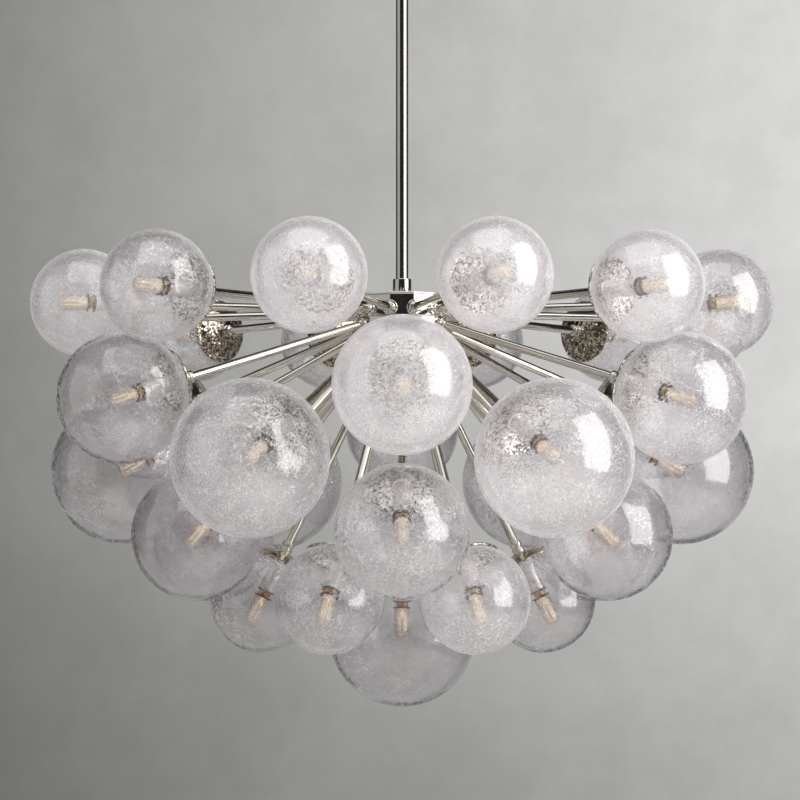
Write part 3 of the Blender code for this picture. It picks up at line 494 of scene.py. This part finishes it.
# The dishes' dark and pale chips are painted reflections of the crackled glass
DISH = dish_metal_painted_reflections("dished_nickel", (0.15, 0.125, 0.095), (0.68, 0.62, 0.52), 0.55, 0.30, chip_scale=400.0,
                    rough_most=0.18, painted_calm_top=True)
DISH_INSIDE = dish_metal_painted_reflections("dish_inside", (0.26, 0.23, 0.20), (0.97, 0.96, 0.94), 0.38, 0.24,
                           chip_scale=380.0, rough_most=0.48)
SLEEVE = plain_surface("sleeve_nickel", (0.98, 0.97, 0.95), (0.62, 0.60, 0.55), 0.22, metallic=0.80,
                       scale=95.0)
LID = plain_surface("lid_nickel", (0.84, 0.81, 0.76), (0.76, 0.73, 0.68), 0.20, metallic=0.66, scale=60.0)
DARK_RING = plain_surface("dark_ring", (0.05, 0.045, 0.04), (0.09, 0.08, 0.075), 0.25)
FILAMENT = plain_surface("filament", (1.0, 0.90, 0.74), (1.0, 0.83, 0.63), 0.45, glow=0.48)
PLASTIC = plain_surface("connector_plastic", (0.80, 0.33, 0.06), (0.70, 0.27, 0.05), 0.42)
CABLE = plain_surface("cable_sheath", (0.78, 0.78, 0.76), (0.70, 0.70, 0.68), 0.50)
BULB = bulb_glass("bulb_glass")
GLASS = crackled_glass("crackled_glass")


# Shape helpers
def fillet(points, steps=3):
    """Round the corners of a profile; a point is (radius, height), or (radius, height, size) to round it."""
    plain = [Vector(point[:2]) for point in points]
    made = []
    for index, point in enumerate(points):
        here = plain[index]
        size = point[2] if len(point) > 2 else 0.0
        if size == 0.0 or index in (0, len(points) - 1):
            made.append(tuple(here))
            continue
        before, after = plain[index - 1] - here, plain[index + 1] - here
        start = here + before.normalized() * min(size, before.length * 0.45)
        end = here + after.normalized() * min(size, after.length * 0.45)
        for step in range(steps + 1):
            share = step / steps
            where = start * (1 - share) ** 2 + here * 2 * share * (1 - share) + end * share ** 2
            made.append(tuple(where))
    return made


def lathe(profile, segments, closed=False):
    """Mesh data turned about Z from (radius, height) points."""
    turned = bmesh.new()
    line = [turned.verts.new((radius, 0.0, height)) for radius, height in profile]
    ends = line[1:] + line[:1] if closed else line[1:]
    edges = [turned.edges.new(pair) for pair in zip(line, ends)]
    bmesh.ops.spin(turned, geom=line + edges, cent=(0, 0, 0), axis=(0, 0, 1), angle=2 * math.pi,
                   steps=segments, use_merge=True)
    bmesh.ops.remove_doubles(turned, verts=turned.verts, dist=1e-6)
    bmesh.ops.recalc_face_normals(turned, faces=turned.faces)
    return turned


def piece(name, shape, material, body="pendant", sharp=35.0, replaces=(),
          origin=(0.0, 0.0, 0.0)):
    """Object of a bmesh, smooth with crisp corners, riding on a body; the bmesh is freed."""
    mesh = bpy.data.meshes.new(name)
    shape.to_mesh(mesh)
    shape.free()
    mesh.shade_smooth()
    mesh.set_sharp_from_angle(angle=math.radians(sharp))
    for each in material if isinstance(material, tuple) else (material,):
        mesh.materials.append(each)
    made = bpy.data.objects.new(name, mesh)
    bpy.context.scene.collection.objects.link(made)
    made.location = origin
    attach(made, body)
    if replaces:
        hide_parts(*replaces)
    return made


def outward(azimuth, elevation):
    """Unit vector away from the hub's centre; azimuth 0 is to the front."""
    across, rise = math.radians(azimuth), math.radians(elevation)
    return Vector((math.cos(rise) * math.sin(across), -math.cos(rise) * math.cos(across), math.sin(rise)))


def arm_frame(azimuth, elevation, distance=0.0):
    """Matrix whose +Z points out along an arm, at a distance from the hub's centre."""
    way = outward(azimuth, elevation)
    turn = way.to_track_quat('Z', 'Y').to_matrix().to_4x4()
    return Matrix.Translation(HUB_CENTRE + way * distance) @ turn


def azimuths(tier):
    """Azimuths of one tier's arms."""
    return [tier.first_azimuth + step * 360.0 / tier.count for step in range(tier.count)]


def spread(shapes):
    """One bmesh of (bmesh, matrices) pairs; the given shapes are freed."""
    whole = bmesh.new()
    for shape, matrices in shapes:
        mesh = bpy.data.meshes.new("copy")
        shape.to_mesh(mesh)
        shape.free()
        for matrix in matrices:
            copy = mesh.copy()
            copy.transform(matrix)
            whole.from_mesh(copy)
            bpy.data.meshes.remove(copy)
        bpy.data.meshes.remove(mesh)
    return whole


# Lit arms: each shape stands along +Z, with the hub's centre at its origin
def rim_of(tier):
    """Distance from the hub's centre to the rims of a tier's cups."""
    return CLUSTER_RADIUS - math.sqrt(tier.globe_radius ** 2 - MOUTH_RADIUS ** 2) - GAP


def sleeve_end(tier):
    """Distance from the hub's centre to the ends of a tier's lampholders."""
    return CLUSTER_RADIUS - tier.globe_radius + SLEEVE_REACH


def arm_root(tier):
    """Distance from the hub's centre to the roots of a tier's arms, and how deep they sit in the hub."""
    if tier.carrier == "bottom_arm":
        return BOTTOM_ROOT, 0.0
    if tier.carrier == "hub_lower_bowl":
        return BOWL_ROOT, BOWL_ROOT_DEPTH
    return DRUM_ROOT / math.cos(math.radians(tier.elevation)), DRUM_ROOT_DEPTH


def arm_shape(tier):
    """Arm with a flange at the hub and a stepped collar at its cup."""
    crown = rim_of(tier) - CUP_HEIGHT
    root, depth = arm_root(tier)
    flange, flange_round = root + depth + 1.0 * MM, 1.2 * MM
    neck, neck_round, neck_foot_radius = root + depth + 5.0 * MM, 1.0 * MM, 8.0 * MM
    groove_low, groove_high = crown - 8.2 * MM, crown - 6.6 * MM
    step = 0.4 * MM
    end = crown + 1.5 * MM
    profile = [
        (0.0, root), (FLANGE_RADIUS, root), (FLANGE_RADIUS, flange, flange_round),
        (neck_foot_radius, flange + step, step), (NECK_RADIUS, neck, neck_round),
        (ARM_RADIUS, neck + step), (ARM_RADIUS, crown - CUP_COLLAR_LENGTH, CRISP_EDGE),
        (CUP_COLLAR_RADIUS, crown - CUP_COLLAR_LENGTH, SOFT_EDGE),
        (CUP_COLLAR_RADIUS, groove_low - step, SOFT_EDGE), (NECK_RADIUS, groove_low, CRISP_EDGE),
        (NECK_RADIUS, groove_high, CRISP_EDGE), (CUP_COLLAR_RADIUS, groove_high + step, SOFT_EDGE),
        (CUP_COLLAR_RADIUS, end), (0.0, end),
    ]
    return lathe(fillet(profile), segments=24)


def cup_shape(tier):
    """Polished dish that carries on the globe's curve, with a rolled rim and its own finish inside."""
    rim = rim_of(tier)
    crown = rim - CUP_HEIGHT
    reach = CUP_RADIUS - 0.6 * MM
    ball = (reach ** 2 + CUP_HEIGHT ** 2) / (2 * CUP_HEIGHT)
    inner_ball = ball - CUP_WALL
    widest = math.asin(reach / ball)
    steps = 10
    outer, inner = [], []
    for step in range(1, steps):
        angle = widest * (1 - step / steps)
        outer.append((max(ball * math.sin(angle), CUP_BORE_RADIUS), crown + ball * (1 - math.cos(angle))))
        inner.append((max(inner_ball * math.sin(angle), CUP_BORE_RADIUS),
                      crown + ball - inner_ball * math.cos(angle)))
    lip = [
        (CUP_RADIUS - 2.2 * MM, rim - 0.6 * MM), (CUP_RADIUS - 1.4 * MM, rim),
        (CUP_RADIUS - 0.3 * MM, rim - 0.2 * MM), (CUP_RADIUS + 0.2 * MM, rim - 1.2 * MM),
        (CUP_RADIUS, rim - 2.4 * MM),
    ]
    bore = [(CUP_BORE_RADIUS, crown), (CUP_BORE_RADIUS, crown + CUP_WALL)]
    shape = lathe(lip + outer + bore + inner[::-1], segments=48, closed=True)
    for face in shape.faces:
        face.material_index = int(face.normal.z > 0.2)
    return shape


def sleeve_shape(tier):
    """Lampholder: a foot in the cup, a tube, and a turned end."""
    foot = rim_of(tier) - CUP_HEIGHT + 2.0 * MM
    end = sleeve_end(tier)
    foot_radius, shoulder_radius, mouth_radius = 13.0 * MM, 14.5 * MM, 9.6 * MM
    shoulder, shoulder_height, shoulder_round = foot + 5.0 * MM, 1.0 * MM, 1.2 * MM
    groove, groove_depth = end - 8.0 * MM, 0.5 * MM
    groove_radius = SLEEVE_RADIUS - groove_depth
    edge, lip, floor = end - 0.4 * MM, end - 0.1 * MM, end - 5.0 * MM
    profile = [
        (0.0, foot), (foot_radius, foot), (shoulder_radius, shoulder, shoulder_round),
        (SLEEVE_RADIUS, shoulder + shoulder_height, SOFT_EDGE),
        (SLEEVE_RADIUS, groove - 2 * groove_depth, CRISP_EDGE), (groove_radius, groove - groove_depth),
        (groove_radius, groove + groove_depth), (SLEEVE_RADIUS, groove + 2 * groove_depth, CRISP_EDGE),
        (SLEEVE_RADIUS, edge, SOFT_EDGE), (mouth_radius, lip), (mouth_radius, floor), (0.0, floor),
    ]
    return lathe(fillet(profile), segments=28)


def ring_shape(tier):
    """Thin dark insulating rings on both sides of the brass."""
    start = sleeve_end(tier)
    top = start + CAP_LENGTH
    rings = []
    for bore, outer, low, high, size in (
            (9.9 * MM, 13.0 * MM, start, start + 2.2 * MM, 0.8 * MM),
            (9.5 * MM, 12.6 * MM, top - 1.0 * MM, top + 1.0 * MM, 0.6 * MM)):
        profile = fillet([(bore, low), (outer, low, size), (outer, high, size), (bore, high)])
        rings.append((lathe(profile, segments=28, closed=True), AS_IT_IS))
    return spread(rings)


def cap_shape(tier):
    """Brass cap with three rolled threads."""
    start = sleeve_end(tier)
    end = start + CAP_LENGTH
    foot_radius, root_radius = 8.6 * MM, 8.7 * MM
    foot_low, foot_high = start - 3.0 * MM, start + 2.3 * MM
    thread_start, thread_end_gap, end_gap = start + 2.4 * MM, 1.0 * MM, 0.2 * MM
    turns = 3
    pitch = (end - thread_end_gap - thread_start) / turns
    profile = [(0.0, foot_low), (foot_radius, foot_low), (foot_radius, foot_high)]
    for turn in range(turns):
        low = thread_start + turn * pitch
        profile += [(root_radius, low), (CAP_RADIUS, low + 0.3 * pitch), (CAP_RADIUS, low + 0.6 * pitch),
                    (root_radius, low + 0.95 * pitch)]
    profile += [(CAP_RADIUS, end - end_gap), (0.0, end - end_gap)]
    return lathe(profile, segments=24)


def bulb_shape(tier):
    """Tubular bulb: a short neck, straight sides and a round tip with a small pip."""
    start = sleeve_end(tier) + CAP_LENGTH
    tip = start + BULB_LENGTH
    pip_rise, pip_share, steps = 0.2 * MM, 0.14, 8
    pip = [(0.0, tip + pip_rise), (1.2 * MM, tip - 0.5 * MM), (2.2 * MM, tip - 0.9 * MM)]
    dome = []
    for step in range(1, steps + 1):
        angle = math.pi / 2 * (pip_share + (1.0 - pip_share) * step / steps)
        dome.append((BULB_RADIUS * math.sin(angle), tip - BULB_RADIUS * (1 - math.cos(angle)) - pip_rise))
    neck = [(BULB_RADIUS, start + 7.0 * MM), (10.4 * MM, start + 3.0 * MM), (9.0 * MM, start + 0.6 * MM)]
    side = pip + dome + neck
    crown_radius = 6.0 * MM
    inner = [(max(radius - BULB_WALL, 0.0), height - BULB_WALL if radius < crown_radius else height)
             for radius, height in side]
    inner[0] = (0.0, side[0][1] - 2.2 * BULB_WALL)
    return lathe(side + inner[::-1], segments=24)


def filament_shape(tier):
    """Four upright filament sticks round a glass stem, on a mica disc."""
    start = sleeve_end(tier) + CAP_LENGTH
    stick_radius, stick_offset, stick_point = 0.7 * MM, 4.2 * MM, 0.4 * MM
    stick_low, stick_high = start + 7.0 * MM, start + 33.0 * MM
    disc_radius, disc_low, disc_high = 7.6 * MM, start - 0.1 * MM, start + 1.6 * MM
    stick = [(0.0, stick_low), (stick_radius, stick_low + stick_point), (stick_radius, stick_high),
             (0.0, stick_high + stick_point)]
    stem = [(0.0, disc_low), (disc_radius, disc_low), (disc_radius, disc_high),
            (2.4 * MM, start + 3.0 * MM), (2.0 * MM, start + 12.0 * MM), (0.0, start + 13.0 * MM)]
    aside = Matrix.Translation((stick_offset, 0.0, 0.0))
    places = [Matrix.Rotation(math.pi / 4 + turn * math.pi / 2, 4, 'Z') @ aside for turn in range(4)]
    return spread([(lathe(stick, segments=8), places), (lathe(stem, segments=14), AS_IT_IS)])


# kind, its shape, its finish, its slot
KINDS = (
    ("arms", arm_shape, NICKEL, "polished_nickel"),
    ("cups", cup_shape, (DISH, DISH_INSIDE), "polished_nickel"),
    ("lampholders", sleeve_shape, SLEEVE, "polished_nickel"),
    ("insulating_rings", ring_shape, DARK_RING, "connector_plastic"),
    ("bulb_caps", cap_shape, BRASS, "brass"),
    ("bulbs", bulb_shape, BULB, "bulb_glass"),
    ("filaments", filament_shape, FILAMENT, "bulb_glass"),
)
BOTTOM_NODES = {"arms": "bottom_arm", "lampholders": "bottom_lampholder", "bulb_caps": "bottom_bulb_cap",
                "bulbs": "bottom_bulb"}


def add_lit_arms():
    """Arms, cups and lamps, one object of each kind for each hub piece that carries them."""
    groups = (("upper", TIERS[:1]), ("middle", TIERS[1:3]), ("lower", TIERS[3:5]), ("bottom", TIERS[5:]))
    for group, tiers in groups:
        for kind, shape_of, material, slot in KINDS:
            shapes = [(shape_of(tier), [arm_frame(azimuth, tier.elevation) for azimuth in azimuths(tier)])
                      for tier in tiers]
            if group == "bottom":
                replaces = (BOTTOM_NODES[kind],) if kind in BOTTOM_NODES else ()
            else:
                replaces = (tiers[0].carrier,) if kind == "arms" else ()
            piece("%s_%s" % (group, kind), spread(shapes), material, replaces=replaces)


# Globes
def globe_shape(radius):
    """Blown globe: outer and inner skins from the far pole to the lip at the mouth."""
    rings = 30
    last = math.pi - math.asin(MOUTH_RADIUS / radius)
    points = []
    for skin, turn_back in ((radius, False), (radius - GLASS_WALL, True)):
        side = [(skin * math.sin(last * step / rings), skin * math.cos(last * step / rings))
                for step in range(rings + 1)]
        points += side[::-1] if turn_back else side
    return lathe(points, segments=64)


def add_globes():
    """A globe for each node, each with its own roll, milkiness and crackle."""
    for tier in TIERS:
        radius = tier.globe_radius
        for number, azimuth in enumerate(azimuths(tier), start=1):
            label = "globe_bottom" if tier.count == 1 else "globe_%s_%02d" % (tier.name, number)
            shape = globe_shape(radius)
            roll = random.uniform(0.0, 2 * math.pi)
            bmesh.ops.rotate(shape, verts=shape.verts, cent=(0, 0, 0), matrix=Matrix.Rotation(roll, 3, 'Z'))
            neck_shares = [-corner.co.z / radius for corner in shape.verts]
            inner_shares = [float(corner.co.length < radius - GLASS_WALL / 2) for corner in shape.verts]
            place = arm_frame(azimuth, tier.elevation, CLUSTER_RADIUS)
            bmesh.ops.transform(shape, verts=shape.verts, matrix=place.to_3x3().to_4x4())
            made = piece(label.replace("globe", "glass"), shape, GLASS, sharp=60.0,
                         replaces=(label,), origin=place.translation)
            # Painted light and shade: globes towards the front are made milkier, and the side and rear ones
            # clearer and so darker, as the light comes from the front
            front_light_share = 0.55 + 0.45 * math.cos(math.radians(azimuth))
            frosted = tier.frosting * front_light_share * random.uniform(0.88, 1.12) * MILK_SHARES.get(label, 1.0)
            shares_by_key = {"toward_neck": neck_shares, "inner_skin": inner_shares,
                             "frosting": [frosted] * len(neck_shares)}
            for key, shares in shares_by_key.items():
                shares_at = made.data.attributes.new(key, 'FLOAT', 'POINT')
                shares_at.data.foreach_set("value", shares)
            seed = made.data.attributes.new("blown_seed", 'FLOAT_VECTOR', 'POINT')
            offset = [random.uniform(-5.0, 5.0) for _ in range(3)]
            seed.data.foreach_set("vector", offset * len(made.data.vertices))


# Hub, stem and canopy
def prism(name, outline, replaces=(), material=NICKEL):
    """Twelve-sided hub piece with a flat side to the front and softened edges."""
    shape = lathe(outline, segments=HUB_SIDES, closed=True)
    half_side = Matrix.Translation(HUB_CENTRE) @ Matrix.Rotation(math.pi / HUB_SIDES, 4, 'Z')
    bmesh.ops.transform(shape, verts=shape.verts, matrix=half_side)
    made = piece(name, shape, material, sharp=20.0, replaces=replaces)
    bevel = made.modifiers.new("Edges", 'BEVEL')
    bevel.width = HUB_EDGE
    bevel.segments = 2
    bevel.limit_method = 'ANGLE'
    bevel.angle_limit = math.radians(20.0)


def box_profile(outer, inner, high, low):
    """Closed rectangle between two radii and two heights."""
    return [(outer, high), (outer, low), (inner, low), (inner, high)]


def add_hub():
    """Lid, drum rings and bowl."""
    flat = HUB_CORNER_RADIUS * math.cos(math.pi / HUB_SIDES)
    split = flat * math.tan(math.radians(-TIERS[1].elevation)) / 2
    bowl_top = flat * math.tan(math.radians(-(TIERS[2].elevation + TIERS[3].elevation) / 2))
    inner = HUB_CORNER_RADIUS - HUB_WALL
    lid_low, lid_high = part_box("hub_lid")[0].z - HUB_Z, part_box("hub_lid")[1].z - HUB_Z
    lid = box_profile(HUB_CORNER_RADIUS, HUB_BORE_RADIUS, lid_high, lid_low)
    prism("hub_lid_plate", lid, ("hub_lid",), LID)
    prism("hub_drum_top", box_profile(HUB_CORNER_RADIUS, inner, HUB_RISE, -split))
    prism("hub_drum_middle", box_profile(HUB_CORNER_RADIUS, inner, -split - GAP, -bowl_top))
    ball = math.hypot(HUB_CORNER_RADIUS, bowl_top)
    steps = 6
    outline = []
    for radius, turn_back in ((ball, False), (ball - HUB_WALL, True)):
        first, last = math.asin((bowl_top + GAP) / radius), math.acos(HUB_BORE_RADIUS / radius)
        angles = [first + (last - first) * step / steps for step in range(steps + 1)]
        side = [(radius * math.cos(angle), -radius * math.sin(angle)) for angle in angles]
        outline += side[::-1] if turn_back else side
    prism("hub_bowl", outline)


def add_stem():
    """Stem tube and the collar at its foot."""
    low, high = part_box("stem")
    bore, outer = 7.5 * MM, 9.0 * MM
    tube = box_profile(outer, bore, high.z, low.z)
    piece("stem_tube", lathe(tube, segments=48, closed=True), NICKEL, replaces=("stem",))
    low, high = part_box("stem_collar")
    bore, outer = 9.3 * MM, 13.5 * MM
    collar = fillet([(bore, low.z), (outer, low.z, 0.5 * MM), (outer, high.z, 1.2 * MM),
                     (bore, high.z, 0.4 * MM), (bore, low.z)])
    turned = lathe(collar[:-1], segments=48, closed=True)
    piece("stem_foot_collar", turned, NICKEL, replaces=("stem_collar",))


def add_canopy():
    """Spun canopy with a round shoulder."""
    low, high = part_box("canopy")
    radius, floor_radius, wall, bore = 75.0 * MM, 50.0 * MM, 1.5 * MM, 5.3 * MM
    fall = radius - floor_radius
    steps = 10
    points = []
    for inset, turn_back in ((0.0, False), (wall, True)):
        bend = fall - inset
        side = [(radius - inset, high.z)]
        for step in range(steps + 1):
            angle = math.pi / 2 * step / steps
            side.append((floor_radius + bend * math.cos(angle), low.z + fall - bend * math.sin(angle)))
        side.append((bore, low.z + inset))
        points += side[::-1] if turn_back else side
    shell = lathe(points, segments=96, closed=True)
    piece("canopy_shell", shell, NICKEL, body="ceiling_mount", replaces=("canopy",))


def dress_nodes():
    """Materials on the solids that stay as they are."""
    names_by_material = (
        (STEEL, ("ceiling_plate", "ground_screw", "canopy_nipple", "nipple_lock_nut", "hub_tie_rod")),
        (NICKEL, ("canopy_ring", "swivel_fork", "pivot_screw", "pivot_nut", "swivel_tongue")),
        (PLASTIC, ("wire_connector",)),
        (CABLE, ("stem_cable",)),
    )
    for material, names in names_by_material:
        for name in names:
            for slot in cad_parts[name].material_slots:
                slot.material = material


# Studio
def add_camera():
    """The photograph's view: level with the lower globes, tipped up a little."""
    lens = bpy.data.cameras.new("camera")
    lens.sensor_width = 36.0
    lens.lens = CAMERA_LENS_MM
    lens.shift_x = CAMERA_SHIFT
    lens.clip_end = 100.0
    camera = bpy.data.objects.new("camera", lens)
    camera.location = (0.0, -CAMERA_DISTANCE, HUB_Z - CAMERA_DROP)
    camera.rotation_euler = (math.radians(90.0 + CAMERA_TIP_DEG), 0.0, 0.0)
    bpy.context.scene.collection.objects.link(camera)
    bpy.context.scene.camera = camera


def softbox(name, azimuth, elevation, distance, width, height, strength, mirrored=True):
    """Soft panel that faces the cluster; strength is its brightness, where 1 is white."""
    lamp = bpy.data.lights.new(name, 'AREA')
    lamp.shape = 'RECTANGLE'
    lamp.size, lamp.size_y = width, height
    lamp.energy = strength * math.pi * width * height
    made = bpy.data.objects.new(name, lamp)
    way = outward(azimuth, elevation)
    made.location = HUB_CENTRE + Vector((0.0, 0.0, -PANEL_AIM_DROP)) + way * distance
    made.rotation_euler = way.to_track_quat('Z', 'Y').to_euler()
    made.visible_camera = False
    made.visible_glossy = mirrored
    bpy.context.scene.collection.objects.link(made)


def wall_colour_and_shade(tree, way, across, up):
    """Plaster-grey wall with painted shade: darker to the left and below, and warmer on the darker side, with
    trowelled clouds.
    """
    # Painted shade: the wall darkens towards the left and below
    side = node(tree, "MapRange", {"Value": across, "From Min": -0.15, "From Max": 0.15, "To Min": 0.250,
                                   "To Max": 0.70}).outputs["Result"]
    fall = ramp(tree, up, -0.09, 0.10, 0.62, 1.0)
    clouds = ramp(tree, noise_at(tree, way, 22.0, 5.0, 0.6), 0.3, 0.7, 0.955, 1.045)
    trowelled = ramp(tree, noise_at(tree, way, 110.0, 4.0, 0.65), 0.3, 0.7, 0.98, 1.02)
    level = times(tree, times(tree, side, fall), times(tree, clouds, trowelled))
    tint = mix_colour(tree, ramp(tree, across, -0.15, 0.15), (1.0, 0.992, 0.935), (1.0, 0.992, 0.978))
    return vector_node(tree, 'SCALE', {0: tint, "Scale": level})


def add_world():
    """Plaster-grey wall with painted shade for the eye, plain soft light for surfaces, and a darker room in
    reflections.
    """
    world = bpy.data.worlds.new("studio")
    bpy.context.scene.world = world
    world.use_nodes = True
    tree = world.node_tree
    tree.nodes.clear()
    way = node(tree, "TexCoord").outputs["Generated"]
    parts = node(tree, "SeparateXYZ", {0: way}).outputs
    wall = wall_colour_and_shade(tree, way, parts["X"], parts["Z"])
    seen = shader(tree, "Background", {"Color": wall, "Strength": 1.0})
    back = ramp(tree, parts["Y"], 0.55, 0.98, 0.02, 0.30)
    low = ramp(tree, parts["Z"], -0.1, -0.9, 0.0, 0.12)
    level = larger(tree, back, low)
    mirrored = shader(tree, "Background", {"Color": (1.0, 0.99, 0.97, 1.0), "Strength": level})
    soft = shader(tree, "Background", {"Color": (1.0, 0.995, 1.0, 1.0), "Strength": 0.40})
    path = node(tree, "LightPath").outputs
    unseen = mix_shader(tree, path["Is Glossy Ray"], soft, mirrored)
    sight = larger(tree, path["Is Camera Ray"], path["Is Transmission Ray"])
    node(tree, "OutputWorld", {"Surface": mix_shader(tree, sight, unseen, seen)})


def floor_paint():
    """Pale painted floor: even to the eye, fading out far away, and open to view from underneath."""
    made, tree = new_material("floor_paint")
    where = node(tree, "TexCoord").outputs["Object"]
    tone = mix_colour(tree, noise_at(tree, where, 1.5, 3.0), (0.62, 0.62, 0.60), (0.58, 0.58, 0.56))
    lit = shader(tree, "BsdfDiffuse", {"Color": tone})
    even = shader(tree, "Emission", {"Color": tone, "Strength": 0.75})
    even_share = times(tree, node(tree, "LightPath").outputs["Is Camera Ray"], 0.65)
    paint = mix_shader(tree, even_share, lit, even)
    away = node(tree, "VectorMath", {0: where}, operation='LENGTH').outputs["Value"]
    underneath = node(tree, "NewGeometry").outputs["Backfacing"]
    fade_start, fade_end = 4.0, 13.0
    open_share = larger(tree, underneath, ramp(tree, away, fade_start, fade_end))
    nothing = node(tree, "BsdfTransparent").outputs[0]
    finish_material(tree, mix_shader(tree, open_share, paint, nothing))
    return made


def add_floor():
    """Plain pale floor well below the cluster."""
    shape = bmesh.new()
    bmesh.ops.create_circle(shape, cap_ends=True, segments=64, radius=FLOOR_RADIUS)
    mesh = bpy.data.meshes.new("floor")
    shape.to_mesh(mesh)
    shape.free()
    mesh.materials.append(floor_paint())
    floor = bpy.data.objects.new("floor", mesh)
    floor.location = (0.0, 0.0, HUB_Z - FLOOR_DROP)
    bpy.context.scene.collection.objects.link(floor)


add_camera()
add_lit_arms()
add_globes()
add_hub()
add_stem()
add_canopy()
dress_nodes()
add_floor()
add_world()
softbox("key_panel", azimuth=58.0, elevation=17.0, distance=3.4, width=2.6, height=4.2, strength=3.4)
softbox("left_panel", azimuth=-68.0, elevation=12.0, distance=3.4, width=3.2, height=3.6, strength=0.42)
softbox("top_panel", azimuth=-10.0, elevation=62.0, distance=3.2, width=3.0, height=3.0, strength=1.1)
softbox("front_fill", azimuth=24.0, elevation=26.0, distance=4.2, width=3.0, height=2.4, strength=4.8,
        mirrored=False)

scene = bpy.context.scene
scene.view_settings.view_transform = 'Standard'
scene.cycles.transparent_max_bounces = 48
scene.cycles.max_bounces = 10

bpy.context.view_layer.update()
